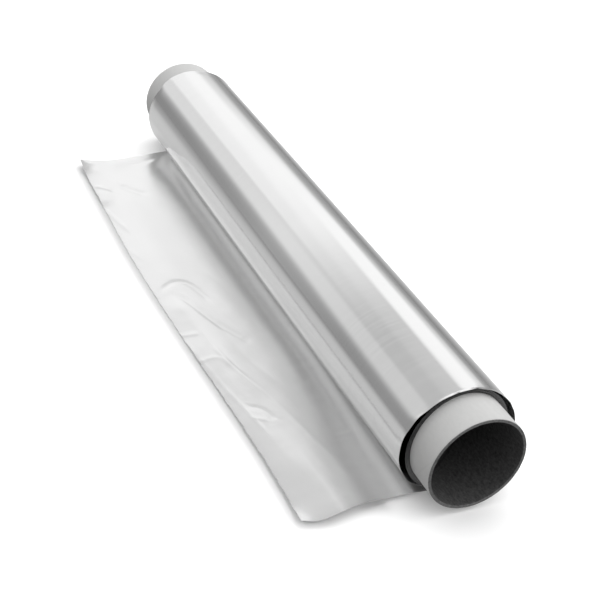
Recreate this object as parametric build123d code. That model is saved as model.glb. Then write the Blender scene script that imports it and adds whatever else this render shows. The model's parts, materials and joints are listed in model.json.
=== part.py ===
"""A household roll of aluminium foil, partly used, lying on its side with its free end pulled out.

Two pieces: the spiral-wound board tube that the foil is wound on, and the foil itself, one web
that is a tight pack on the tube, one slack outer turn around the pack, and a free end that lies
flat on the surface under the roll.

Frame, in millimetres: the origin is on the tube's axis at the middle of the web's width, +X runs
along the tube towards its shorter bare end, the free end of the web lies towards -Y, +Z is up.
"""
from build123d import *
import os

# ---- driving dimensions -------------------------------------------------------------------
web_width = 290.0            # the foil, edge to edge
bore_diameter = 38.4         # inside of the tube, a nominal one and a half inch core
tube_wall = 1.2              # plies of board and the white outer ply together
short_bare_end = 15.2        # tube past the foil at the +X end
long_bare_end = 17.4         # tube past the foil at the -X end
wrap_clearance = 0.05        # between the tube and the first turn
pack_build = 1.95            # radial thickness of the tight turns
web_gauge = 0.3              # solid thickness that stands for the single 0.015 mm web
side_slack = 1.8             # air between the pack and the slack turn at each side
seat = 0.1                   # how far the slack turn is pressed into the pack, over and under it
flat_spot_depth = 0.15       # how much of the soft underside is flattened by the roll's weight
free_reach = 65.0            # from under the tube's axis to the free edge, over most of its far half
free_lean = 4.2              # the free end is pulled askew, so its corners lie this far to +X

# The free edge wanders: where along half the web's width, and how far it stands out from or
# falls short of free_reach. The two ends of the list are the web's corners.
free_edge = [(-1.0, -1.0), (-0.7, -0.2), (-0.3, 1.0), (0.1, -0.1), (0.3, -1.2), (0.55, -2.6), (0.85, -3.2),
             (1.0, -2.6)]

# ---- sizes that follow --------------------------------------------------------------------
half_web = web_width / 2
bore_radius = bore_diameter / 2
tube_radius = bore_radius + tube_wall
first_turn_radius = tube_radius + wrap_clearance
pack_radius = first_turn_radius + pack_build

under_z = -(pack_radius + web_gauge - seat)      # the surface that the roll lies on
over_z = pack_radius + web_gauge - seat          # the top of the slack turn
slack_half_width = pack_radius + side_slack + web_gauge
slack_half_height = (over_z - under_z + flat_spot_depth) / 2
slack_centre_z = (over_z + under_z - flat_spot_depth) / 2


def core_tube():
    """The plain board tube, cut square at both ends."""
    length = web_width + short_bare_end + long_bare_end
    section = Circle(tube_radius) - Circle(bore_radius)
    start = Plane(origin=(-half_web - long_bare_end, 0, 0), x_dir=(0, 1, 0), z_dir=(1, 0, 0))
    return extrude(start * section, length)


def kept_above(section, floor):
    """What is left of a section above a level line."""
    room = 4 * slack_half_width
    return section & Pos(0, floor + room / 2) * Rectangle(room, room)


def slack_turn_section():
    """The loose oval turn, flattened where it lies, with the web's gauge all round."""
    outer = Ellipse(slack_half_width, slack_half_height)
    inner = Ellipse(slack_half_width - web_gauge, slack_half_height - web_gauge)
    outside = kept_above(Pos(0, slack_centre_z) * outer, under_z)
    return outside - kept_above(Pos(0, slack_centre_z) * inner, under_z + web_gauge)


def wound_section():
    """Pack and slack turn together, in a plane across the roll: local X is Y, local Y is Z."""
    pack = Circle(pack_radius) - Circle(first_turn_radius)
    return pack + slack_turn_section()


def free_end():
    """The pulled-out end: flat on the surface, from under the axis to its wandering free edge."""
    edge_points = [(along * half_web + free_lean, -free_reach - out) for along, out in free_edge]
    outline = Line((half_web, 0), (-half_web, 0))
    outline += Line((-half_web, 0), edge_points[0])
    outline += Spline(*edge_points)
    outline += Line(edge_points[-1], (half_web, 0))
    return extrude(Pos(0, 0, under_z) * make_face(outline), web_gauge)


def foil():
    """The whole web as one solid."""
    start = Plane(origin=(-half_web, 0, 0), x_dir=(0, 1, 0), z_dir=(1, 0, 0))
    wound = extrude(start * wound_section(), web_width)
    return wound + free_end()


os.makedirs("parts", exist_ok=True)
for name, shape in {"core_tube": core_tube(), "foil": foil()}.items():
    export_step(shape, f"parts/{name}.step")
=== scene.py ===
"""A household roll of aluminium foil on its board tube, lying on its side with its end pulled out.

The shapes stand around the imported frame: the tube, the tight winding, and one long sheet that is
the slack outer turn and the free end. Lengths are in metres, and the roll's axis is X.
"""
import json
import math

import bmesh
import bpy
import numpy as np
from mathutils import Matrix, Vector, noise


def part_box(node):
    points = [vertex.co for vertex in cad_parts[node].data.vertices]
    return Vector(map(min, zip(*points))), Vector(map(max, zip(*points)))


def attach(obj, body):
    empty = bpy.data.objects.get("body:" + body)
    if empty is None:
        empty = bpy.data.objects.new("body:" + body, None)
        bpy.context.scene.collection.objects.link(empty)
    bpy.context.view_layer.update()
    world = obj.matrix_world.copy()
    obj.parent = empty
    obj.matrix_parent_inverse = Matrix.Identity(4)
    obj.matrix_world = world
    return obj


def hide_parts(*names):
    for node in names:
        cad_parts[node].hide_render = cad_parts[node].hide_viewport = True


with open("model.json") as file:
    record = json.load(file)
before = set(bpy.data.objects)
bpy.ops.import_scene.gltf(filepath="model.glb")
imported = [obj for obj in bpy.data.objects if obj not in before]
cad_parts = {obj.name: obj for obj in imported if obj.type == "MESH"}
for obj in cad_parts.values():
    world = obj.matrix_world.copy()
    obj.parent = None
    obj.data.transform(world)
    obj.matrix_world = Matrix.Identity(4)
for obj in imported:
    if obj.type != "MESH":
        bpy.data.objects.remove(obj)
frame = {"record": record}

bl_info = {
    "name": "Foil Roll Maker",
    "version": (1, 0, 0),
    "blender": (4, 5, 0),
    "location": "3D View > Sidebar > Foil Roll",
    "description": "Makes a wound roll of kitchen foil with a slack outer turn and a free end",
    "category": "Add Mesh",
}

MM = 0.001
TUBE_LOW, TUBE_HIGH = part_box("core_tube")
FOIL_LOW, FOIL_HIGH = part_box("foil")
BORE = next(m for m in frame["record"]["mounts"] if m["name"] == "core_bore")["dims"]["r_mm"] * MM
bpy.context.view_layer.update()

# How the solid web of the frame is made: 0.3 mm thick, and pressed 0.1 mm into the winding.
SOLID_WEB = 0.3 * MM
SOLID_SEAT = 0.1 * MM


# ---- sizes and finishes that a user may change -----------------------------------------------

class WebSizes(bpy.types.PropertyGroup):
    """The foil itself."""
    half_width: bpy.props.FloatProperty(
        name="Half width", description="From the middle of the web to its edge",
        default=-FOIL_LOW.x, subtype="DISTANCE")
    gauge: bpy.props.FloatProperty(
        name="Gauge", description="Thickness of the sheet as it is shown",
        default=0.06 * MM, precision=5, subtype="DISTANCE")
    winding_radius: bpy.props.FloatProperty(
        name="Winding radius", description="Outside of the tight turns",
        default=FOIL_HIGH.z - SOLID_WEB + SOLID_SEAT, subtype="DISTANCE")
    turns: bpy.props.IntProperty(
        name="Turns", description="Turns that the winding shows on its ends", default=26, min=3)
    end_skew: bpy.props.FloatProperty(
        name="End skew", description="How far the winding's ends lean along the roll, low side to high",
        default=1.2 * MM, precision=4, subtype="DISTANCE")
    end_wander: bpy.props.FloatProperty(
        name="End wander", description="How far one turn's edge stands out from the next",
        default=0.16 * MM, precision=5, subtype="DISTANCE")
    slack_half_width: bpy.props.FloatProperty(
        name="Slack half width", description="Half the width of the loose oval turn",
        default=FOIL_HIGH.y, subtype="DISTANCE")
    free_reach: bpy.props.FloatProperty(
        name="Free reach", description="From under the axis to the free edge at its furthest",
        default=-FOIL_LOW.y, subtype="DISTANCE")
    lean: bpy.props.FloatProperty(
        name="Lean", description="How far the free edge is pulled askew along the roll",
        default=FOIL_HIGH.x + FOIL_LOW.x, subtype="DISTANCE")


class TubeSizes(bpy.types.PropertyGroup):
    """The board tube."""
    radius: bpy.props.FloatProperty(
        name="Radius", description="Outside of the tube", default=TUBE_HIGH.z, subtype="DISTANCE")
    bore: bpy.props.FloatProperty(
        name="Bore radius", description="Inside of the tube", default=BORE, subtype="DISTANCE")
    plies: bpy.props.IntProperty(
        name="Plies", description="Plies of board that show on the cut rim", default=4, min=1)
    seam_pitch: bpy.props.FloatProperty(
        name="Seam pitch", description="How far the spiral seam climbs in one turn",
        default=0.078, subtype="DISTANCE")


class Finishes(bpy.types.PropertyGroup):
    """Colours and gloss."""
    bright: bpy.props.FloatVectorProperty(
        name="Bright side", description="The foil's mirror side", size=4, subtype="COLOR",
        default=(0.905, 0.905, 0.905, 1.0))
    matt: bpy.props.FloatVectorProperty(
        name="Matt side", description="The foil's dull side", size=4, subtype="COLOR",
        default=(0.95, 0.95, 0.95, 1.0))
    paper: bpy.props.FloatVectorProperty(
        name="Outer ply", description="White paper on the tube", size=4, subtype="COLOR",
        default=(0.48, 0.48, 0.476, 1.0))
    # The board's colour is partly its own dark grey and partly painted shade that darkens the whole
    # inside of the tube.
    board: bpy.props.FloatVectorProperty(
        name="Board", description="Grey board inside the tube", size=4, subtype="COLOR",
        default=(0.062, 0.062, 0.062, 1.0))


class StageSizes(bpy.types.PropertyGroup):
    """Camera and floor."""
    aim: bpy.props.FloatVectorProperty(
        name="Aim", description="The point on the floor that the camera looks at", size=3,
        default=(0.01525, -0.00101, FOIL_LOW.z), subtype="XYZ")
    azimuth: bpy.props.FloatProperty(
        name="Azimuth", description="Where the camera stands round the roll, from its +X end",
        default=math.radians(-28.16), subtype="ANGLE")
    elevation: bpy.props.FloatProperty(
        name="Elevation", description="How far the camera looks down",
        default=math.radians(32.79), subtype="ANGLE")
    roll: bpy.props.FloatProperty(
        name="Camera roll", description="Turn of the camera about its own view",
        default=math.radians(7.38), subtype="ANGLE")
    distance: bpy.props.FloatProperty(
        name="Distance", description="From the camera to the aim point",
        default=0.56945, subtype="DISTANCE")
    lens: bpy.props.FloatProperty(
        name="Lens", description="Focal length on a 36 mm wide sensor", default=73.19)
    floor_size: bpy.props.FloatProperty(
        name="Floor size", description="Side of the square floor", default=12.0,
        subtype="DISTANCE")


# ---- small helpers -----------------------------------------------------------------------

def smooth(low, high, value):
    """0 below low, 1 above high, and an even S between."""
    t = np.clip((value - low) / (high - low), 0, 1)
    return t * t * (3 - 2 * t)


def add_node(tree, kind, **settings):
    """A new node with its own settings."""
    node = tree.nodes.new(kind)
    for name, value in settings.items():
        setattr(node, name, value)
    return node


def feed(tree, socket, value):
    """Gives a socket a number, or what another socket sends."""
    if isinstance(value, bpy.types.NodeSocket):
        tree.links.new(value, socket)
    else:
        socket.default_value = value


def calc(tree, operation, *values, clamp=False):
    """A Math node's result."""
    node = add_node(tree, "ShaderNodeMath", operation=operation, use_clamp=clamp)
    for socket, value in zip(node.inputs, values):
        feed(tree, socket, value)
    return node.outputs[0]


def split(tree, vector):
    """The X, Y and Z of a vector."""
    node = add_node(tree, "ShaderNodeSeparateXYZ")
    feed(tree, node.inputs[0], vector)
    return node.outputs


def object_place(tree):
    """Where a point is on its own object."""
    return add_node(tree, "ShaderNodeTexCoord").outputs["Object"]


def spread(tree, value, low, high, to_low=0.0, to_high=1.0, kind="LINEAR"):
    """A Map Range node's result."""
    node = add_node(tree, "ShaderNodeMapRange", interpolation_type=kind)
    for socket, number in zip(node.inputs, (value, low, high, to_low, to_high)):
        feed(tree, socket, number)
    return node.outputs[0]


def blend_colours(tree, factor, first, second, mode="MIX"):
    """A colour between two, or one laid over the other."""
    node = add_node(tree, "ShaderNodeMix", data_type="RGBA", blend_type=mode)
    feed(tree, node.inputs["Factor"], factor)
    feed(tree, node.inputs[6], first)
    feed(tree, node.inputs[7], second)
    return node.outputs[2]


def new_material(name):
    """A material with an empty Principled surface, and the two."""
    material = bpy.data.materials.new(name)
    material.use_nodes = True
    return material, material.node_tree, material.node_tree.nodes["Principled BSDF"]


def bump(tree, surface, height, distance, strength=1.0):
    """Bump on a surface, with its height in metres."""
    node = add_node(tree, "ShaderNodeBump")
    node.inputs["Strength"].default_value = strength
    node.inputs["Distance"].default_value = distance
    feed(tree, node.inputs["Height"], height)
    tree.links.new(node.outputs["Normal"], surface.inputs["Normal"])


def pattern(tree, where, scale, detail=2.0, stretch=(1.0, 1.0, 1.0), roughness=0.5):
    """Noise over a coordinate that is stretched first."""
    mapping = add_node(tree, "ShaderNodeMapping")
    mapping.inputs["Scale"].default_value = stretch
    tree.links.new(where, mapping.inputs["Vector"])
    node = add_node(tree, "ShaderNodeTexNoise")
    node.inputs["Scale"].default_value = scale
    node.inputs["Detail"].default_value = detail
    node.inputs["Roughness"].default_value = roughness
    tree.links.new(mapping.outputs["Vector"], node.inputs["Vector"])
    return node.outputs["Fac"]


def mesh_object(name, points, faces, materials=(), face_material=None, smooth_angle=40):
    """An object at the origin from points and faces, shaded smooth but for its sharp edges."""
    mesh = bpy.data.meshes.new(name)
    mesh.from_pydata(points, [], faces)
    for material in materials:
        mesh.materials.append(material)
    if face_material is not None:
        mesh.polygons.foreach_set("material_index", face_material)
    mesh.update()
    piece = bpy.data.objects.new(name, mesh)
    bpy.context.scene.collection.objects.link(piece)
    soften(mesh, smooth_angle)
    return piece


def soften(mesh, angle):
    """Smooth shading with the sharp edges kept."""
    mesh.shade_smooth()
    mesh.set_sharp_from_angle(angle=math.radians(angle))


def turn_out(mesh):
    """Merges what lies together and points every face outwards."""
    work = bmesh.new()
    work.from_mesh(mesh)
    bmesh.ops.remove_doubles(work, verts=work.verts, dist=1e-6)
    bmesh.ops.recalc_face_normals(work, faces=work.faces)
    work.to_mesh(mesh)
    work.free()
    mesh.update()


# ---- materials ---------------------------------------------------------------------------

def rolled_metal(name, colour, metallic, roughness, uneven, spread_along, grain):
    """Rolled aluminium: fine lines along the web, which spread a reflection across it."""
    material, tree, surface = new_material(name)
    web = add_node(tree, "ShaderNodeUVMap", uv_map="Web").outputs["UV"]
    lines = pattern(tree, web, 900, 3.0, stretch=(1.0, 0.04, 1.0))
    patches = pattern(tree, web, 26, 3.0)
    rough = calc(tree, "ADD", spread(tree, lines, 0.3, 0.7, -uneven, uneven),
                 spread(tree, patches, 0.3, 0.7, roughness - uneven, roughness + uneven))
    tree.links.new(rough, surface.inputs["Roughness"])
    shade = blend_colours(tree, spread(tree, lines, 0.25, 0.75), (0.965, 0.965, 0.965, 1), (1, 1, 1, 1))
    tree.links.new(blend_colours(tree, 1.0, colour, shade, "MULTIPLY"), surface.inputs["Base Color"])
    surface.inputs["Metallic"].default_value = metallic
    surface.inputs["Anisotropic"].default_value = spread_along
    tangent = add_node(tree, "ShaderNodeTangent", direction_type="UV_MAP", uv_map="Web")
    tree.links.new(tangent.outputs["Tangent"], surface.inputs["Tangent"])
    bump(tree, surface, lines, grain)
    return material


def cut_metal(name):
    """The ends of the winding: hundreds of cut edges, dull, their colour darkened with painted shade of
    the gaps between the turns.
    """
    material, tree, surface = new_material(name)
    place = object_place(tree)
    parts = split(tree, place)
    radius = calc(tree, "SQRT", calc(tree, "ADD",
                                     calc(tree, "POWER", parts["Y"], 2.0),
                                     calc(tree, "POWER", parts["Z"], 2.0)))
    turn_rings_and_gap_shade = add_node(tree, "ShaderNodeTexNoise", noise_dimensions="1D")
    turn_rings_and_gap_shade.inputs["Scale"].default_value = 9000
    turn_rings_and_gap_shade.inputs["Detail"].default_value = 3
    tree.links.new(radius, turn_rings_and_gap_shade.inputs["W"])
    scuffs = pattern(tree, place, 260, 3.0)
    tone = calc(tree, "MULTIPLY", spread(tree, turn_rings_and_gap_shade.outputs["Fac"], 0.35, 0.65, 0.45, 1.0),
                spread(tree, scuffs, 0.3, 0.7, 0.8, 1.0))
    # Dark greys: painted shade of the air gaps between the turns, in fine rings round the axis; the
    # scuffs vary it at random.
    shade = blend_colours(tree, tone, (0.012, 0.012, 0.012, 1), (0.24, 0.24, 0.242, 1))
    tree.links.new(shade, surface.inputs["Base Color"])
    surface.inputs["Metallic"].default_value = 0.8
    surface.inputs["Roughness"].default_value = 0.5
    bump(tree, surface, turn_rings_and_gap_shade.outputs["Fac"], 0.05 * MM)
    return material


def seam_distance(tree, place, pitch):
    """How far a point on the tube is along X from its spiral seam, as a share of the pitch."""
    parts = split(tree, place)
    turn = calc(tree, "DIVIDE", calc(tree, "ARCTAN2", parts["Z"], parts["Y"]), math.tau)
    phase = calc(tree, "FRACT", calc(tree, "ADD", calc(tree, "DIVIDE", parts["X"], pitch),
                                     calc(tree, "ADD", turn, 10.0)))
    return calc(tree, "ABSOLUTE", calc(tree, "SUBTRACT", phase, 0.5))


def paper_ply(name, colour, pitch):
    """Smooth white paper with a faint fibre and a thin spiral seam."""
    material, tree, surface = new_material(name)
    place = object_place(tree)
    fibre = pattern(tree, place, 700, 4.0, stretch=(0.5, 1.0, 1.0), roughness=0.65)
    cloud = pattern(tree, place, 60, 2.0)
    seam = spread(tree, seam_distance(tree, place, pitch), 0.0, 0.005, 1.0, 0.0, "SMOOTHSTEP")
    tone = calc(tree, "MULTIPLY", spread(tree, fibre, 0.3, 0.7, 0.94, 1.0),
                spread(tree, cloud, 0.3, 0.7, 0.96, 1.0))
    dark = tuple(0.72 * c for c in colour[:3]) + (1.0,)
    shade = blend_colours(tree, calc(tree, "MULTIPLY", seam, 0.2), colour, dark)
    tint = add_node(tree, "ShaderNodeCombineColor")
    for socket in tint.inputs:
        tree.links.new(tone, socket)
    tree.links.new(blend_colours(tree, 1.0, shade, tint.outputs[0], "MULTIPLY"),
                   surface.inputs["Base Color"])
    tree.links.new(spread(tree, fibre, 0.3, 0.7, 0.62, 0.74), surface.inputs["Roughness"])
    surface.inputs["Specular IOR Level"].default_value = 0.35
    bump(tree, surface, calc(tree, "SUBTRACT", fibre, seam), 0.04 * MM)
    return material


def grey_board(name, colour, pitch, lighter):
    """Pressed grey board with pale and dark fibres in it."""
    material, tree, surface = new_material(name)
    place = object_place(tree)
    fibre = pattern(tree, place, 1100, 5.0, stretch=(0.6, 1.0, 1.0), roughness=0.7)
    flecks = pattern(tree, place, 420, 2.0)
    seam = spread(tree, seam_distance(tree, place, pitch), 0.0, 0.012, 1.0, 0.0, "SMOOTHSTEP")
    dark = tuple(0.6 * c for c in colour[:3]) + (1.0,)
    pale = tuple(min(1.0, lighter * c) for c in colour[:3]) + (1.0,)
    body = blend_colours(tree, spread(tree, fibre, 0.3, 0.7), dark, pale)
    body = blend_colours(tree, spread(tree, flecks, 0.62, 0.72, 0.0, 0.5), body, pale)
    tree.links.new(blend_colours(tree, calc(tree, "MULTIPLY", seam, 0.6), body, dark),
                   surface.inputs["Base Color"])
    surface.inputs["Roughness"].default_value = 0.9
    surface.inputs["Specular IOR Level"].default_value = 0.08
    bump(tree, surface, calc(tree, "SUBTRACT", fibre, seam), 0.08 * MM)
    return material


# ---- the tube ------------------------------------------------------------------------------

SEAM_HALF_WIDTH = 0.8 * MM
OUTER_SEAM_DEPTH, INNER_SEAM_DEPTH = 0.05 * MM, 0.08 * MM
INNER_SEAM_TURN = 2.0      # radians that the inner ply's seam is ahead of the outer one's
CUT_ROUGHNESS = 0.07 * MM
TUBE_SIDES = 176


def seam_groove(x, angle, pitch):
    """How deep, from 0 to 1, a point lies in the spiral groove between two ply edges."""
    phase = np.mod(x / pitch + angle / math.tau, 1.0) - 0.5
    return np.exp(-(phase * pitch / SEAM_HALF_WIDTH) ** 2)


def tube_profile(sizes):
    """The tube's section, round from the middle of its outside and back: x and radius."""
    low, high = TUBE_LOW.x, TUBE_HIGH.x
    edge = 0.25 * MM
    step = 1.2 * MM
    steps = int(0.024 / step)
    near_ends = [low + edge + i * step for i in range(steps)]
    stations = near_ends + list(np.linspace(low + 0.03, high - 0.03, 12))
    stations += [high - edge - i * step for i in reversed(range(steps))]
    wall = sizes.radius - sizes.bore
    rim = [(0.35 * edge, sizes.radius - 0.35 * edge)]
    for ply in range(sizes.plies):
        outside = sizes.radius - wall * ply / sizes.plies
        inside = sizes.radius - wall * (ply + 1) / sizes.plies
        rim += [(0.0, outside - 0.3 * wall / sizes.plies), (0.0, inside + 0.25 * wall / sizes.plies)]
        if ply < sizes.plies - 1:
            rim.append((0.09 * MM, inside))
    rim.append((0.3 * edge, sizes.bore + 0.2 * edge))
    outer = [(x, sizes.radius) for x in stations]
    inner = [(x, sizes.bore) for x in reversed(stations)]
    at_high = [(high - dx, r) for dx, r in rim]
    at_low = [(low + dx, r) for dx, r in reversed(rim)]
    return outer + at_high + inner + at_low


def make_tube(sizes, finish):
    """The spiral-wound tube as one closed skin, with its cut plies on the rims."""
    profile = np.array(tube_profile(sizes))
    angles = np.linspace(0, math.tau, TUBE_SIDES, endpoint=False)
    x, angle = np.meshgrid(profile[:, 0], angles, indexing="ij")
    radius = np.repeat(profile[:, 1:], TUBE_SIDES, axis=1)
    outside = radius > sizes.radius - 1e-6
    inside = radius < sizes.bore + 1e-6
    radius = radius - outside * OUTER_SEAM_DEPTH * seam_groove(x, angle, sizes.seam_pitch)
    ahead_by = angle + INNER_SEAM_TURN
    radius = radius + inside * INNER_SEAM_DEPTH * seam_groove(x, ahead_by, sizes.seam_pitch)
    on_rim = ~(outside | inside)
    ragged = np.array([[noise.noise(Vector((40 * math.cos(a), 40 * math.sin(a), 900 * r)))
                        for a, r in zip(row_a, row_r)] for row_a, row_r in zip(angle, radius)])
    x = x - on_rim * np.sign(x) * (CUT_ROUGHNESS * (0.5 + ragged))
    x = np.clip(x, TUBE_LOW.x, TUBE_HIGH.x)
    points = np.stack([x, radius * np.cos(angle), radius * np.sin(angle)], -1).reshape(-1, 3)
    rows = len(profile)
    faces, slots = [], []
    for i in range(rows):
        ahead = (i + 1) % rows
        for j in range(TUBE_SIDES):
            beside = (j + 1) % TUBE_SIDES
            faces.append((i * TUBE_SIDES + j, i * TUBE_SIDES + beside,
                          ahead * TUBE_SIDES + beside, ahead * TUBE_SIDES + j))
        both_out = outside[i, 0] and outside[ahead, 0]
        slots += [0 if both_out else 1 if inside[i, 0] and inside[ahead, 0] else 2] * TUBE_SIDES
    materials = [paper_ply("white_outer_ply", finish.paper, sizes.seam_pitch),
                 # The bore's board: painted shade darkens its colour.
                 grey_board("grey_board", finish.board, sizes.seam_pitch, 1.7),
                 # The rim's board is 2.6 times paler than the bore's: painted light, making up for how
                 # little light reaches the rim at the +X end.
                 grey_board("cut_board_painted_light", [2.6 * c for c in finish.board[:3]], sizes.seam_pitch, 1.35)]
    piece = mesh_object("core_tube_plies", points.tolist(), faces, materials, slots)
    turn_out(piece.data)
    soften(piece.data, 40)
    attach(piece, "root")
    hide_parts("core_tube")
    return piece


# ---- the winding ---------------------------------------------------------------------------

def winding_tree():
    """Geometry nodes for a web wound in a flat spiral about X, with edges that wander."""
    tree = bpy.data.node_groups.new("wound_web", "GeometryNodeTree")
    wants = [("Outer Radius", 0.0224), ("Inner Radius", 0.0204), ("Turns", 26.0), ("Half Width", 0.145),
             ("Thickness", 0.00006), ("Edge Wander", 0.00015), ("End Skew", 0.001), ("Skew Angle", 3.9),
             ("Start Angle", 0.0), ("Seed", 7.0)]
    for name, default in wants:
        socket = tree.interface.new_socket(name, in_out="INPUT", socket_type="NodeSocketFloat")
        socket.default_value = default
    for name in ("Face", "Edges"):
        tree.interface.new_socket(name, in_out="INPUT", socket_type="NodeSocketMaterial")
    tree.interface.new_socket("Steps", in_out="INPUT", socket_type="NodeSocketInt")
    tree.interface.new_socket("Winding", in_out="OUTPUT", socket_type="NodeSocketGeometry")
    given = add_node(tree, "NodeGroupInput").outputs
    grid = add_node(tree, "GeometryNodeMeshGrid")
    grid.inputs["Size X"].default_value = 1.0
    grid.inputs["Size Y"].default_value = 1.0
    grid.inputs["Vertices Y"].default_value = 2
    tree.links.new(given["Steps"], grid.inputs["Vertices X"])
    flat = split(tree, add_node(tree, "GeometryNodeInputPosition").outputs[0])
    along = calc(tree, "ADD", flat["X"], 0.5)
    turned = calc(tree, "MULTIPLY", along, given["Turns"])
    angle = calc(tree, "ADD", calc(tree, "MULTIPLY", turned, math.tau), given["Start Angle"])
    radius = spread(tree, along, 0.0, 1.0, given["Outer Radius"], given["Inner Radius"])
    wander = add_node(tree, "ShaderNodeTexNoise", noise_dimensions="1D")
    wander.inputs["Scale"].default_value = 1.0
    wander.inputs["Detail"].default_value = 3.0
    side = calc(tree, "MULTIPLY", flat["Y"], 31.0)
    track = calc(tree, "ADD", calc(tree, "MULTIPLY", turned, 1.9), calc(tree, "ADD", side, given["Seed"]))
    tree.links.new(track, wander.inputs["W"])
    drift = calc(tree, "MULTIPLY", calc(tree, "SUBTRACT", wander.outputs["Fac"], 0.5),
                 calc(tree, "MULTIPLY", given["Edge Wander"], 4.0))
    across = calc(tree, "MULTIPLY", calc(tree, "MULTIPLY", flat["Y"], 2.0), given["Half Width"])
    lean = calc(tree, "MULTIPLY", given["End Skew"],
                calc(tree, "COSINE", calc(tree, "SUBTRACT", angle, given["Skew Angle"])))
    place = add_node(tree, "ShaderNodeCombineXYZ")
    feed(tree, place.inputs["X"], calc(tree, "ADD", across, calc(tree, "ADD", drift, lean)))
    feed(tree, place.inputs["Y"], calc(tree, "MULTIPLY", radius, calc(tree, "COSINE", angle)))
    feed(tree, place.inputs["Z"], calc(tree, "MULTIPLY", radius, calc(tree, "SINE", angle)))
    wound = add_node(tree, "GeometryNodeSetPosition")
    tree.links.new(grid.outputs["Mesh"], wound.inputs["Geometry"])
    tree.links.new(place.outputs[0], wound.inputs["Position"])
    thick = add_node(tree, "GeometryNodeExtrudeMesh", mode="FACES")
    thick.inputs["Individual"].default_value = False
    tree.links.new(wound.outputs[0], thick.inputs["Mesh"])
    tree.links.new(given["Thickness"], thick.inputs["Offset Scale"])
    backed = add_node(tree, "GeometryNodeFlipFaces")
    tree.links.new(wound.outputs[0], backed.inputs["Mesh"])
    whole = add_node(tree, "GeometryNodeJoinGeometry")
    tree.links.new(thick.outputs["Mesh"], whole.inputs[0])
    tree.links.new(backed.outputs[0], whole.inputs[0])
    closed = add_node(tree, "GeometryNodeMergeByDistance")
    closed.inputs["Distance"].default_value = 1e-6
    tree.links.new(whole.outputs[0], closed.inputs["Geometry"])
    real = add_node(tree, "GeometryNodeRealizeInstances")
    tree.links.new(closed.outputs[0], real.inputs[0])
    faced = add_node(tree, "GeometryNodeSetMaterial")
    tree.links.new(real.outputs[0], faced.inputs["Geometry"])
    tree.links.new(given["Face"], faced.inputs["Material"])
    facing = split(tree, add_node(tree, "GeometryNodeInputNormal").outputs[0])
    ends = calc(tree, "GREATER_THAN", calc(tree, "ABSOLUTE", facing["X"]), 0.6)
    edged = add_node(tree, "GeometryNodeSetMaterial")
    tree.links.new(faced.outputs[0], edged.inputs["Geometry"])
    tree.links.new(ends, edged.inputs["Selection"])
    tree.links.new(given["Edges"], edged.inputs["Material"])
    tree.links.new(edged.outputs[0], add_node(tree, "NodeGroupOutput").inputs[0])
    return tree


def bake_nodes(name, tree, values):
    """The mesh that a geometry tree makes with these inputs, as a plain object."""
    carrier = bpy.data.objects.new(name, bpy.data.meshes.new(name))
    bpy.context.scene.collection.objects.link(carrier)
    modifier = carrier.modifiers.new("nodes", "NODES")
    modifier.node_group = tree
    for item in tree.interface.items_tree:
        if item.in_out == "INPUT" and item.name in values:
            modifier[item.identifier] = values[item.name]
    ready = carrier.evaluated_get(bpy.context.evaluated_depsgraph_get())
    mesh = bpy.data.meshes.new_from_object(ready)
    carrier.modifiers.remove(modifier)
    carrier.data = mesh
    return carrier


def make_winding(web, tube, metals):
    """The tight turns on the tube, from where the slack turn tucks in to the first turn."""
    clearance = 0.05 * MM
    pitch = (web.winding_radius - tube.radius - clearance) / web.turns
    steps_a_turn = 96
    piece = bake_nodes("foil_winding", winding_tree(), {
        "Outer Radius": web.winding_radius - pitch,
        "Inner Radius": tube.radius + clearance,
        "Turns": float(web.turns - 1),
        "Half Width": web.half_width,
        "Thickness": 0.86 * pitch,
        "Edge Wander": web.end_wander,
        "End Skew": web.end_skew,
        "Skew Angle": math.radians(SKEW_ANGLE),
        "Start Angle": math.radians(TUCK_END),
        "Seed": 7.0,
        "Face": metals["matt"],
        "Edges": metals["cut"],
        "Steps": (web.turns - 1) * steps_a_turn + 1,
    })
    turn_out(piece.data)
    soften(piece.data, 40)
    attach(piece, "root")
    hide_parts("foil")
    return piece


# ---- the sheet: slack turn and free end --------------------------------------------------------

TUCK_START, TUCK_END = 222.0, 264.0     # degrees: where the slack turn bends in to the winding
SKEW_ANGLE = 225.0                      # degrees: where the winding stands out furthest towards +X
SHEET_END = 292.0                       # degrees: where the sheet ends, hidden on the winding
SLACK_SHIFT = 0.4 * MM                  # how much looser the slack turn is on its +Y side

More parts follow.
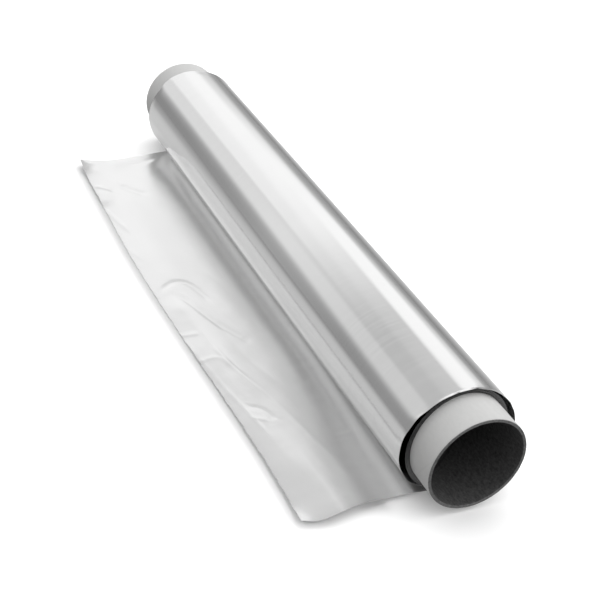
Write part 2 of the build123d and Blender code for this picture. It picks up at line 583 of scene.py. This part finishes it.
# Folds in the free end, in millimetres: the few places (x, y) that each runs through, its height, how
# far its two sides reach (the first on the left of its run), and how round its crest is.
FOLDS = (
    # the long ridge that starts at the free edge, and the sharp line along its crest
    (((-6, -59), (22, -56), (52, -52), (80, -44)), 0.36, 9, 10, 0.6),
    (((52, -52), (80, -44), (110, -38), (140, -34)), 0.20, 16, 9, 0.8),
    (((36, -55), (52, -52), (63, -49)), 0.08, 1.4, 1.2, 0.3),
    (((55, -51), (80, -44), (118, -37)), 0.03, 1.4, 1.2, 0.3),
    # the crease that bounds its bright slope
    (((-6, -58), (0, -54), (20, -47), (38, -38)), -0.13, 2.4, 1.6, 0.5),
    # the second ridge, nearer to the free edge, and its sharp line
    (((24, -66), (50, -62), (90, -57), (140, -48)), 0.28, 7, 9, 0.5),
    (((26, -65), (60, -61), (104, -54)), 0.10, 1.3, 1.3, 0.3),
    # the arc above them, and its shoulder
    (((-10, -63), (-16, -54), (-12, -47), (5, -43)), -0.18, 1.6, 2.4, 0.4),
    (((-26, -60), (-14, -43), (24, -36)), 0.14, 6, 6, 2.0),
    # short cross creases and puckers
    (((25, -66), (26, -57)), 0.09, 1.6, 1.6, 0.4),
    (((46, -65), (45, -56), (53, -52)), 0.08, 1.6, 1.6, 0.4),
    (((34, -40), (38, -38)), -0.06, 2.0, 2.0, 0.8),
    (((79, -57), (83, -51), (92, -48)), -0.16, 1.4, 2.2, 0.4),
    (((87, -57), (91, -51)), 0.10, 1.3, 1.3, 0.3),
    # the far side
    (((-128, -50), (-130, -38), (-137, -22)), -0.30, 6, 1.8, 0.4),
    (((-111, -51), (-104, -46), (-98, -40)), -0.22, 3.2, 2.0, 0.8),
    (((-133, -56), (-90, -65)), 0.55, 6, 6, 1.2),
    (((-113, -64), (-105, -55)), 0.20, 1.5, 1.5, 0.4),
    (((-88, -65), (-65, -60)), 0.24, 1.6, 1.3, 0.4),
    (((-50, -65), (-39, -62)), 0.16, 1.4, 1.3, 0.4),
)


def smooth_run(points, pieces=5):
    """A smooth curve through a few points, as many short straight runs."""
    points = np.array(points, float)
    padded = np.concatenate([points[:1], points, points[-1:]])
    t = np.arange(pieces)[:, None] / pieces
    runs = []
    for before, start, end, after in zip(padded, padded[1:], padded[2:], padded[3:]):
        runs.append(start + 0.5 * t * (end - before)
                    + t ** 2 * (before - 2.5 * start + 2 * end - 0.5 * after)
                    + t ** 3 * (1.5 * start - 0.5 * before - 1.5 * end + 0.5 * after))
    return np.concatenate(runs + [points[-1:]])


def along_fold(x, y, points):
    """How far each point lies to the left of a fold's run, and how far along it, from 0 to 1."""
    points = smooth_run(points)
    runs = np.linalg.norm(np.diff(points, axis=0), axis=1)
    gone = np.concatenate([[0], np.cumsum(runs)])
    near = np.full(x.shape, np.inf)
    side = np.zeros(x.shape)
    share = np.zeros(x.shape)
    for start, end, run, before in zip(points[:-1], points[1:], runs, gone[:-1]):
        step = (end - start) / run
        t = np.clip((x - start[0]) * step[0] + (y - start[1]) * step[1], 0, run)
        away = np.hypot(x - start[0] - t * step[0], y - start[1] - t * step[1])
        left = step[0] * (y - start[1]) - step[1] * (x - start[0])
        closer = away < near
        near = np.where(closer, away, near)
        side = np.where(closer, np.sign(left), side)
        share = np.where(closer, (before + t) / gone[-1], share)
    return near * side, share


def tent(away, left_reach, right_reach, rounding):
    """A crest of height 1 with a straight slope on each side, rounded at its top and feet."""
    reach = np.where(away > 0, left_reach, right_reach)
    t = np.sqrt(away ** 2 + rounding ** 2) - rounding
    fall = np.clip(1 - t / reach, 0, None)
    foot = np.clip(0.5 * rounding / reach, 0.05, 0.4)
    return np.where(fall < foot, fall ** 2 / (2 * foot), fall - foot / 2)


def rough_field(x, y, scale, seed):
    """Soft noise over a plane, one value for each point."""
    flat = np.stack([x.ravel() * scale, y.ravel() * scale], -1)
    values = [noise.noise(Vector((u, v, seed))) for u, v in flat]
    return np.array(values).reshape(x.shape)


# Swells of the free end: height in millimetres, and how far from the roll they begin and are full.
NEAR_SWELLS = ((1.2, 3, 20), (1.2, 24, 48), (-1.6, 46, 64))

# Corners that curl up, by the side they are at: how far in from the edge, their height and reach.
FAR_CURLS = ((2, 2.3, 7), (2, 1.2, 18))
NEAR_CURLS = ((3, 1.0, 5),)


def free_end_lift(x0, x, y, web):
    """How high the free end stands off the surface, in millimetres, over (x, y) in millimetres."""
    reach = web.free_reach / MM
    out = np.clip(-y / reach, 0, 1)
    from_near = (web.half_width - x0) / MM
    from_far = (web.half_width + x0) / MM
    at_near = smooth(0, 1, np.clip(1 - from_near / 100, 0, 1))
    near = sum(height * smooth(begins, full, -y) for height, begins, full in NEAR_SWELLS)
    rest = 2.4 * smooth(1, 15, -y) * (1 - 0.86 * smooth(14, 46, -y)) + 0.2 * smooth(46, 57, -y)
    rest = rest * (1 - 0.95 * smooth(56, 65, -y))
    lift = near * at_near + rest * (1 - at_near) * (0.4 + 0.6 * smooth(0, 40, from_far))
    for points, height, left_reach, right_reach, rounding in FOLDS:
        away, share = along_fold(x, y, points)
        ends = smooth(0.0, 0.15, share) * (1 - smooth(0.8, 1.0, share))
        lift = lift + height * tent(away, left_reach, right_reach, rounding) * (0.1 + 0.9 * ends)
    for from_side, curls in ((from_far, FAR_CURLS), (from_near, NEAR_CURLS)):
        for inset, height, spread_by in curls:
            lift = lift + height * np.exp(-(np.hypot(from_side, reach - inset + y) / spread_by) ** 1.5)
    for height, scale, seed, share in ((0.12, 0.045, 3.1, smooth(6, 22, -y)), (0.035, 0.15, 8.4, out),
                                       (0.006, 0.5, 1.7, out)):
        lift = lift + height * (1 + rough_field(x, y, scale, seed)) * share
    return lift


def lean_at(x0, y, web):
    """How far the pulled-out web has slid along the roll: early at its far side, late at its near."""
    out = np.clip(-y / web.free_reach, 0, 1)
    to_near = 0.5 + 0.5 * x0 / web.half_width
    near = 0.24 * smooth(0, 0.2, out) + 0.88 * smooth(0.5, 0.82, out) - 0.55 * smooth(0.84, 0.99, out)
    far = 1.7 * np.minimum(1.15 * out, 1) ** 0.85
    return web.lean * (near * to_near + far * (1 - to_near))


# The cut edge, as (share of the half width, how far past the rest it reaches, in millimetres).
FREE_EDGE = ((-1.0, -1.0), (-0.7, -0.2), (-0.3, 1.0), (0.1, -0.1), (0.3, -1.2), (0.55, -2.6),
             (0.85, -3.2), (1.0, -2.6))


def free_edge_at(x, web):
    """How far out the cut edge lies at each place across the web."""
    share = x / web.half_width
    marks = np.array(FREE_EDGE)
    slopes = np.gradient(marks[:, 1], marks[:, 0])
    at = np.clip(np.searchsorted(marks[:, 0], share) - 1, 0, len(marks) - 2)
    run = marks[at + 1, 0] - marks[at, 0]
    t = np.clip((share - marks[at, 0]) / run, 0, 1)
    extra = (marks[at, 1] * (1 + 2 * t) * (1 - t) ** 2 + marks[at + 1, 1] * t ** 2 * (3 - 2 * t)
             + run * (slopes[at] * t * (1 - t) ** 2 - slopes[at + 1] * t ** 2 * (1 - t)))
    torn = 0.12 * np.sin(61 * share + 0.4) * np.sin(23 * share) + 0.06 * np.sin(140 * share + 2.0)
    return web.free_reach - max(marks[:, 1]) * MM + (extra + torn) * MM


def slack_turn(angle, web):
    """The slack turn's section at each angle in degrees, before the tuck: y and z."""
    top = FOIL_HIGH.z - web.gauge / 2
    floor = FOIL_LOW.z + web.gauge / 2
    press = 0.15 * MM
    middle = (top + floor - press) / 2
    height = (top - floor + press) / 2
    width = web.slack_half_width - web.gauge / 2
    a = np.radians(angle)
    y = width * np.cos(a) + SLACK_SHIFT * np.maximum(np.cos(a), 0)
    z = np.maximum(middle + height * np.sin(a), floor)
    return y, z


# Waves round the slack turn: height in millimetres, how many there are in a turn, where they start
# in radians, and how far they lean along the roll. Swells: height, angle and spread in degrees.
FLAT_WAVES = ((0.045, 9, 0.8, 1.2), (0.030, 23, 2.1, -2.0))
FLAT_SWELLS = ((0.05, 186, 3.5), (-0.05, 178, 3.0), (0.4, 226, 13))
FLARE_WAVES = ((0.10, 5, 0.5, 0.0), (0.06, 13, 1.0, 0.0))
EDGE_WAVES = ((0.12, 3, 0.9, 0.0), (0.05, 17, 0.0, 0.0))


def waves(angle, kinds, x=0.0):
    """Waves of several kinds round the roll, added up."""
    return sum(height * np.sin(np.radians(angle) * count + start + lean * x)
               for height, count, start, lean in kinds)


def slack_ripple(angle, x):
    """Long shallow flats in the slack turn, in metres outwards."""
    flats = waves(angle, FLAT_WAVES, x)
    for height, centre, spread_by in FLAT_SWELLS:
        flats = flats + height * np.exp(-((angle - centre) / spread_by) ** 2)
    return flats * MM


EDGE_STRIP = 3.5      # millimetres at each edge of the web where the mesh is finest

# Rows round the slack turn: from and to in degrees, and the step.
TURN_ROWS = ((-86, 70, 6), (70, 112, 2), (112, 250, 3), (250, SHEET_END + 1, 6))


def web_columns(web):
    """Places across the web, closer where there are folds and at the two edges."""
    half = web.half_width / MM
    inner = half - EDGE_STRIP
    places = [np.array([-half])]
    for start, end, step in ((-half, -inner, 0.35), (-inner, -95, 1.0), (-95, -25, 2.8),
                             (-25, inner, 0.9), (inner, half, 0.35)):
        places.append(np.linspace(start, end, round((end - start) / step) + 1)[1:])
    return np.concatenate(places) * MM


def sheet_grid(web):
    """The sheet's middle surface, rows along the web and columns across it."""
    floor = FOIL_LOW.z + web.gauge / 2
    x0 = web_columns(web)[None, :]
    edge = free_edge_at(x0, web)
    share = np.concatenate([np.linspace(0, 0.5, 58), np.linspace(0.5, 1, 17)[1:]])[:, None]
    y = -edge * (1 - share)
    x = x0 + lean_at(x0, y, web)
    z = floor + MM * free_end_lift(x0, x / MM, y / MM, web)
    angle = np.concatenate([np.arange(*rows) for rows in TURN_ROWS])[:, None].astype(float)
    loose_y, loose_z = slack_turn(angle, web)
    tuck = smooth(TUCK_START, TUCK_END, angle)
    laid = web.winding_radius + web.gauge
    turn_y = loose_y * (1 - tuck) + laid * np.cos(np.radians(angle)) * tuck
    turn_z = loose_z * (1 - tuck) + laid * np.sin(np.radians(angle)) * tuck
    free = smooth(-60, -20, angle) * (1 - smooth(TUCK_START - 10, TUCK_END - 10, angle))
    ripple = slack_ripple(angle, x0 / web.half_width) * free
    flare = edge_flare(angle, x0, web) * free
    turn_y = turn_y + (ripple + flare) * np.cos(np.radians(angle))
    turn_z = turn_z + (ripple + flare) * np.sin(np.radians(angle))
    turn_x = x0 + edge_wander(angle, x0, web)
    x = np.concatenate([x, turn_x])
    y = np.concatenate([y, turn_y])
    z = np.concatenate([z, turn_z])
    return np.stack([x, y, z], -1)


# Nicks in the slack turn's +X edge: angle in degrees, half its width in degrees, how far the edge
# is pushed back and how far it stands out, in millimetres.
NICKS = ((101.0, 2.5, -0.5, 0.6), (82.0, 2.5, -0.5, 0.6), (139.0, 5.0, 0.15, 0.1), (28.0, 5.0, 0.2, -0.2))


def edge_flare(angle, x0, web):
    """How the slack turn's edges bend in and out, in metres."""
    near_edge = 1 - smooth(0, 4.0 * MM, web.half_width - x0)
    far_edge = 1 - smooth(0, 4.0 * MM, web.half_width + x0)
    out = waves(angle, FLARE_WAVES) * (near_edge - far_edge)
    lip = 1 - smooth(0, 1.2 * MM, web.half_width - x0)
    for centre, spread_by, _, stand in NICKS:
        out = out + stand * np.exp(-((angle - centre) / spread_by) ** 2) * lip
    out = out + 0.12 * smooth(40, 62, angle) * (1 - smooth(108, 130, angle)) * lip
    return out * MM


def edge_wander(angle, x0, web):
    """How the slack turn's edges wander along the roll, in metres."""
    near_edge = 1 - smooth(0, 5.0 * MM, web.half_width - x0)
    far_edge = 1 - smooth(0, 5.0 * MM, web.half_width + x0)
    wave = waves(angle, EDGE_WAVES)
    stood_out = 1.9 * smooth(30, 60, angle) * (1 - smooth(115, 145, angle))
    out = wave * near_edge - (0.8 * wave + stood_out) * far_edge
    for centre, spread_by, back, _ in NICKS:
        out = out - back * np.exp(-((angle - centre) / spread_by) ** 2) * near_edge
    return out * MM


def surface_normals(grid):
    """Unit normals of a grid of points, on the side of the web's bright face."""
    along = np.gradient(grid, axis=0)
    across = np.gradient(grid, axis=1)
    normal = np.cross(along, across)
    return normal / np.linalg.norm(normal, axis=-1, keepdims=True)


def make_sheet(web, metals):
    """Slack turn and free end as one thin closed sheet, bright outside and matt inside."""
    grid = sheet_grid(web)
    rows, columns = grid.shape[:2]
    normal = surface_normals(grid)
    bright = grid + normal * web.gauge / 2
    matt = grid - normal * web.gauge / 2
    points = np.concatenate([bright.reshape(-1, 3), matt.reshape(-1, 3)])
    points[:, 2] = np.maximum(points[:, 2], FOIL_LOW.z)
    back = rows * columns
    faces, slots = [], []
    for i in range(rows - 1):
        for j in range(columns - 1):
            a, b = i * columns + j, i * columns + j + 1
            d, c = a + columns, b + columns
            faces += [(d, c, b, a), (back + a, back + b, back + c, back + d)]
            slots += [0, 1]
    border = list(range(columns))
    border += [i * columns + columns - 1 for i in range(1, rows)]
    border += [(rows - 1) * columns + j for j in range(columns - 2, -1, -1)]
    border += [i * columns for i in range(rows - 2, 0, -1)]
    for here, there in zip(border, border[1:] + border[:1]):
        faces.append((here, there, back + there, back + here))
        slots.append(0)
    piece = mesh_object("foil_sheet", points.tolist(), faces, [metals["bright"], metals["matt"]],
                        slots, 50)
    steps = np.linalg.norm(np.diff(grid[:, columns // 2], axis=0), axis=1)
    lengths = np.concatenate([[0], np.cumsum(steps)])
    widths = grid[-1, :, 0]
    web_place = np.stack(np.meshgrid(lengths, widths, indexing="ij")[::-1], -1).reshape(-1, 2)
    web_place = np.concatenate([web_place, web_place])
    uv = piece.data.uv_layers.new(name="Web")
    corner = np.zeros(len(piece.data.loops), np.int32)
    piece.data.loops.foreach_get("vertex_index", corner)
    uv.data.foreach_set("uv", web_place[corner].astype(np.float32).ravel())
    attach(piece, "root")
    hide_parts("foil")
    return piece


# ---- the stage -----------------------------------------------------------------------------

# Long soft lights hung along the roll, a little askew. Going from the +Y horizon up over the top to
# -Y, each row is an edge where the light changes: the degrees it runs over and its change, at the
# far end of the roll and at the near end, and the stretch of the roll between those two.
SIDE_LEVEL = 0.35          # brightness at the +Y horizon
LIGHT_EDGES = (
    ((2, 52, 0.70), (4, 28, 0.70), (-59, -49)),         # the big light over the +Y side begins
    ((42, 66, 0.00), (49, 61, -0.42), (-51, -45)),      # it stops short of the near end
    ((65, 100, -0.10), (65, 100, -0.10), (-59, -49)),   # it fades over the top
    ((104, 116, -0.18), (104, 116, 0.00), (-53, -45)),  # a dimmer light carries on at the far end
    ((118, 132, 0.00), (118, 132, 0.12), (-53, -45)),   # and a brighter one at the near end
    ((136, 162, -0.50), (148, 172, -0.34), (-59, -42)),  # the lights end before the -Y horizon
)
UNDERNEATH = 0.20          # brightness below the horizon

# The light that falls on board, paper and floor: even from all of the sky, and more from one side.
MATT_LIGHT_ALL_ROUND, MATT_LIGHT_FROM_SIDE, MATT_LIGHT_BELOW = 1.0, 1.6, 0.6
MATT_LIGHT_LEAST = 0.1
MATT_LIGHT_SIDE = (-0.45, 0.52, 0.72)      # the way that the light from one side comes from


def level_ramp(tree, value, low, high, bands):
    """A grey ramp over a value, from (value, brightness) pairs."""
    ramp = add_node(tree, "ShaderNodeValToRGB")
    stops = ramp.color_ramp.elements
    while len(stops) > 1:
        stops.remove(stops[0])
    for index, (place, level) in enumerate(bands):
        stop = stops[0] if index == 0 else stops.new(1.0)
        stop.position = (place - low) / (high - low)
        stop.color = (level, level, level, 1)
    tree.links.new(spread(tree, value, float(low), float(high)), ramp.inputs["Fac"])
    return ramp.outputs["Color"]


def light_stage():
    """Soft studio light all round: long strips of light and shade that run along the roll."""
    world = bpy.data.worlds.new("soft_studio")
    bpy.context.scene.world = world
    world.use_nodes = True
    tree = world.node_tree
    tree.nodes.clear()
    direction = add_node(tree, "ShaderNodeTexCoord").outputs["Generated"]
    way = split(tree, direction)
    turn = calc(tree, "ARCTAN2", way["Z"], way["Y"])
    turn = calc(tree, "MULTIPLY", turn, math.degrees(1))
    # angles run on past 180 below the -Y horizon, instead of wrapping to -180
    up = calc(tree, "ADD", turn, calc(tree, "MULTIPLY", calc(tree, "LESS_THAN", turn, -90.0), 360.0))
    side = calc(tree, "MULTIPLY", calc(tree, "ARCSINE", way["X"]), math.degrees(1))
    below = calc(tree, "LESS_THAN", way["Z"], 0.0)
    sky = SIDE_LEVEL
    for far, near, stretch in LIGHT_EDGES:
        along = spread(tree, side, *stretch)
        start, stop, change = (spread(tree, along, 0.0, 1.0, *ends) for ends in zip(far, near))
        sky = calc(tree, "MULTIPLY_ADD", spread(tree, up, start, stop, kind="SMOOTHSTEP"), change, sky)
    sky = spread(tree, below, 0.0, 1.0, sky, UNDERNEATH)
    facing = add_node(tree, "ShaderNodeVectorMath", operation="DOT_PRODUCT")
    feed(tree, facing.inputs[0], direction)
    facing.inputs[1].default_value = MATT_LIGHT_SIDE
    shed = calc(tree, "MULTIPLY_ADD", facing.outputs["Value"], MATT_LIGHT_FROM_SIDE, MATT_LIGHT_ALL_ROUND)
    level = add_node(tree, "ShaderNodeMix", data_type="FLOAT")
    feed(tree, level.inputs["Factor"], below)
    feed(tree, level.inputs[2], calc(tree, "MAXIMUM", shed, MATT_LIGHT_LEAST))
    feed(tree, level.inputs[3], MATT_LIGHT_BELOW)
    rays = add_node(tree, "ShaderNodeLightPath")
    light = add_node(tree, "ShaderNodeBackground")
    tree.links.new(blend_colours(tree, rays.outputs["Is Diffuse Ray"], sky, level.outputs[0]),
                   light.inputs["Color"])
    plain = add_node(tree, "ShaderNodeBackground")
    plain.inputs["Color"].default_value = (1, 1, 1, 1)
    seen = add_node(tree, "ShaderNodeMixShader")
    tree.links.new(rays.outputs["Is Camera Ray"], seen.inputs[0])
    tree.links.new(light.outputs[0], seen.inputs[1])
    tree.links.new(plain.outputs[0], seen.inputs[2])
    tree.links.new(seen.outputs[0], add_node(tree, "ShaderNodeOutputWorld").inputs[0])


FLAG_WIDTH, FLAG_HEIGHT = 3.4 * MM, 4.5 * MM
SEEN_FLOOR_DROP, MIRRORED_FLOOR_DROP = 0.03 * MM, 0.01 * MM      # how far below the roll each lies
MIRRORED_FLOOR_REACH = 0.5                                       # how far its brightness changes

# How bright the floor is in the foil, by its distance from the roll's axis towards +Y.
MIRRORED_FLOOR = ((-0.5, 0.25), (-0.2, 0.33), (-0.1, 0.45), (-0.04, 0.50), (0.0, 0.72), (0.045, 0.84),
                  (0.075, 0.52), (0.12, 0.40), (0.2, 0.30), (0.5, 0.22))


def floor_plane(name, size, height, material):
    """A square floor piece."""
    half = size / 2
    points = [(-half, -half, height), (half, -half, height), (half, half, height), (-half, half, height)]
    plane = mesh_object(name, points, [(0, 1, 2, 3)], [material])
    return plane


def pale_floor(name, albedo, glow, falls_off=False):
    """A pale floor lit a little from within, which may darken away from the roll."""
    material, tree, surface = new_material(name)
    surface.inputs["Roughness"].default_value = 1.0
    surface.inputs["Specular IOR Level"].default_value = 0.0
    surface.inputs["Base Color"].default_value = (albedo, albedo, albedo, 1)
    surface.inputs["Emission Color"].default_value = (1, 1, 1, 1)
    surface.inputs["Emission Strength"].default_value = glow
    if falls_off:
        level = level_ramp(tree, split(tree, object_place(tree))["Y"],
                           -MIRRORED_FLOOR_REACH, MIRRORED_FLOOR_REACH, MIRRORED_FLOOR)
        tree.links.new(blend_colours(tree, 1.0, level, (albedo, albedo, albedo, 1), "MULTIPLY"),
                       surface.inputs["Base Color"])
        tree.links.new(level, surface.inputs["Emission Color"])
    return material


def edge_flag(web, level):
    """A dark ribbon over the free edge and the +X side, which softly shades the floor below it."""
    material, _, surface = new_material("flag_black")
    surface.inputs["Base Color"].default_value = (0, 0, 0, 1)
    surface.inputs["Specular IOR Level"].default_value = 0.0
    across = np.linspace(-0.97, 1.0, 24) * web.half_width
    along_edge = [(x + web.lean * 0.7, -y) for x, y in zip(across, free_edge_at(across, web))]
    side = web.half_width + web.lean
    beside = [(side, -0.8 * web.free_reach), (side - 3 * MM, -0.6 * web.free_reach),
              (side - 2 * MM, -0.42 * web.free_reach)]
    path = np.array(along_edge + beside)
    heading = np.gradient(path, axis=0)
    heading = heading / np.linalg.norm(heading, axis=1)[:, None]
    aside = np.stack([-heading[:, 1], heading[:, 0]], 1) * FLAG_WIDTH / 2
    height = level + FLAG_HEIGHT
    points = [(x, y, height) for x, y in np.concatenate([path + aside, path - aside])]
    count = len(path)
    faces = [(i, i + 1, count + i + 1, count + i) for i in range(count - 1)]
    flag = mesh_object("edge_flag", points, faces, [material])
    flag.visible_camera = False
    flag.visible_glossy = False


def make_stage(stage, web):
    """Camera, light, and the floor: one that is seen, and one that only reflections see."""
    level = FOIL_LOW.z
    edge_flag(web, level)
    seen = floor_plane("floor", stage.floor_size, level - SEEN_FLOOR_DROP,
                       pale_floor("white_floor", 0.95, 0.0))
    seen.visible_glossy = False
    seen.visible_diffuse = False
    mirrored = floor_plane("floor_in_reflections", stage.floor_size, level - MIRRORED_FLOOR_DROP,
                           pale_floor("shaded_floor", 0.58, 0.42, falls_off=True))
    mirrored.visible_camera = False
    mirrored.visible_diffuse = False
    mirrored.visible_shadow = False
    light_stage()
    back = Vector((math.cos(stage.elevation) * math.cos(stage.azimuth),
                   math.cos(stage.elevation) * math.sin(stage.azimuth), math.sin(stage.elevation)))
    right = Vector((0, 0, 1)).cross(back).normalized()
    up = back.cross(right)
    turned_right = right * math.cos(stage.roll) + up * math.sin(stage.roll)
    turned_up = up * math.cos(stage.roll) - right * math.sin(stage.roll)
    camera = bpy.data.objects.new("camera", bpy.data.cameras.new("camera"))
    bpy.context.scene.collection.objects.link(camera)
    pose = Matrix((turned_right, turned_up, back)).transposed().to_4x4()
    pose.translation = Vector(stage.aim) + back * stage.distance
    camera.matrix_world = pose
    camera.data.lens = stage.lens
    camera.data.sensor_width = 36.0
    camera.data.clip_start = 0.01
    bpy.context.scene.camera = camera
    bpy.context.scene.view_settings.view_transform = "Standard"


# ---- operators and panel ---------------------------------------------------------------------

METALS = {}


def metals(finish):
    """The foil's finishes, made once."""
    if not METALS:
        METALS["bright"] = rolled_metal("foil_bright_side", finish.bright, metallic=1.0, roughness=0.11,
                                        uneven=0.02, spread_along=0.6, grain=0.0006 * MM)
        METALS["matt"] = rolled_metal("foil_matt_side", finish.matt, metallic=0.91, roughness=0.23,
                                      uneven=0.015, spread_along=0.3, grain=0.0005 * MM)
        METALS["cut"] = cut_metal("foil_cut_edges_painted_shade")
    return METALS


class FOILROLL_OT_tube(bpy.types.Operator):
    """Make the spiral-wound board tube"""
    bl_idname = "foilroll.tube"
    bl_label = "Board Tube"

    def execute(self, context):
        make_tube(context.scene.foil_tube, context.scene.foil_finish)
        return {"FINISHED"}


class FOILROLL_OT_winding(bpy.types.Operator):
    """Make the tight turns on the tube"""
    bl_idname = "foilroll.winding"
    bl_label = "Tight Winding"

    def execute(self, context):
        make_winding(context.scene.foil_web, context.scene.foil_tube, metals(context.scene.foil_finish))
        return {"FINISHED"}


class FOILROLL_OT_sheet(bpy.types.Operator):
    """Make the slack outer turn and the free end"""
    bl_idname = "foilroll.sheet"
    bl_label = "Slack Turn and Free End"

    def execute(self, context):
        make_sheet(context.scene.foil_web, metals(context.scene.foil_finish))
        return {"FINISHED"}


class FOILROLL_OT_stage(bpy.types.Operator):
    """Make the floor, the light and the camera"""
    bl_idname = "foilroll.stage"
    bl_label = "Stage"

    def execute(self, context):
        make_stage(context.scene.foil_stage, context.scene.foil_web)
        return {"FINISHED"}


class FOILROLL_PT_panel(bpy.types.Panel):
    """The roll's sizes and the steps that make it"""
    bl_idname = "FOILROLL_PT_panel"
    bl_label = "Foil Roll"
    bl_space_type = "VIEW_3D"
    bl_region_type = "UI"
    bl_category = "Foil Roll"

    def draw(self, context):
        for name in GROUPS:
            box = self.layout.box()
            group = getattr(context.scene, name)
            for key in group.bl_rna.properties.keys():
                if key not in ("rna_type", "name"):
                    box.prop(group, key)
        for step in STEPS:
            self.layout.operator(step.bl_idname)


GROUPS = {"foil_web": WebSizes, "foil_tube": TubeSizes, "foil_finish": Finishes, "foil_stage": StageSizes}
STEPS = (FOILROLL_OT_tube, FOILROLL_OT_winding, FOILROLL_OT_sheet, FOILROLL_OT_stage)


def register():
    """Adds the classes and the settings on the scene."""
    for kind in (*GROUPS.values(), *STEPS, FOILROLL_PT_panel):
        bpy.utils.register_class(kind)
    for name, kind in GROUPS.items():
        setattr(bpy.types.Scene, name, bpy.props.PointerProperty(type=kind))


def unregister():
    """Takes them away again."""
    for name in GROUPS:
        delattr(bpy.types.Scene, name)
    for kind in (FOILROLL_PT_panel, *reversed(STEPS), *reversed(list(GROUPS.values()))):
        bpy.utils.unregister_class(kind)


def main():
    """Builds the whole roll."""
    register()
    bpy.ops.foilroll.tube()
    bpy.ops.foilroll.winding()
    bpy.ops.foilroll.sheet()
    bpy.ops.foilroll.stage()


if __name__ == "__main__":
    main()
